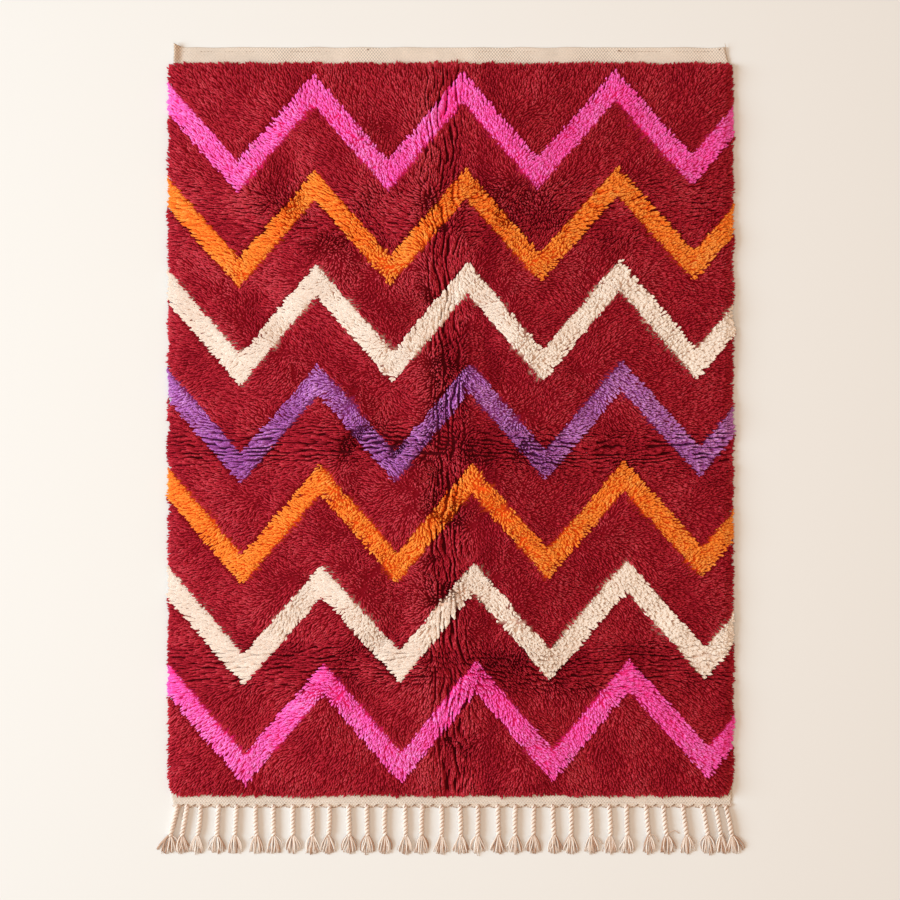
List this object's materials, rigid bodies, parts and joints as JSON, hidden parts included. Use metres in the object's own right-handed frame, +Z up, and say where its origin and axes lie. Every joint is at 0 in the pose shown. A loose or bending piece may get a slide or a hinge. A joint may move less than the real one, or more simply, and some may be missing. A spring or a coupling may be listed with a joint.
{
  "type": "shag rug",
  "caption": "Thick hand-knotted wool shag rug, a rectangle lying flat, with a plain woven hem at one end and a twisted cord fringe at the other, in zigzag bands of colour.",
  "frame": {"origin": "on the floor, under the middle of the rug with its fringe", "axes": "+Z up out of the pile, +Y along the rug towards its plain hem, +X to the right seen from the fringe"},
  "size_m": [1.4522, 2.0018, 0.0259],
  "materials": {
    "ground_cotton": "natural cream cotton, a fine flat weave",
    "pile_wool": "deep red long wool pile, crossed by zigzag bands of pink, orange, cream and purple",
    "fringe_wool": "undyed cream yarn, twisted into cords"
  },
  "bodies": {
    "root": {"ground_weave": "ground_cotton", "pile": "pile_wool", "fringe": "fringe_wool"}
  },
  "joints": []
}
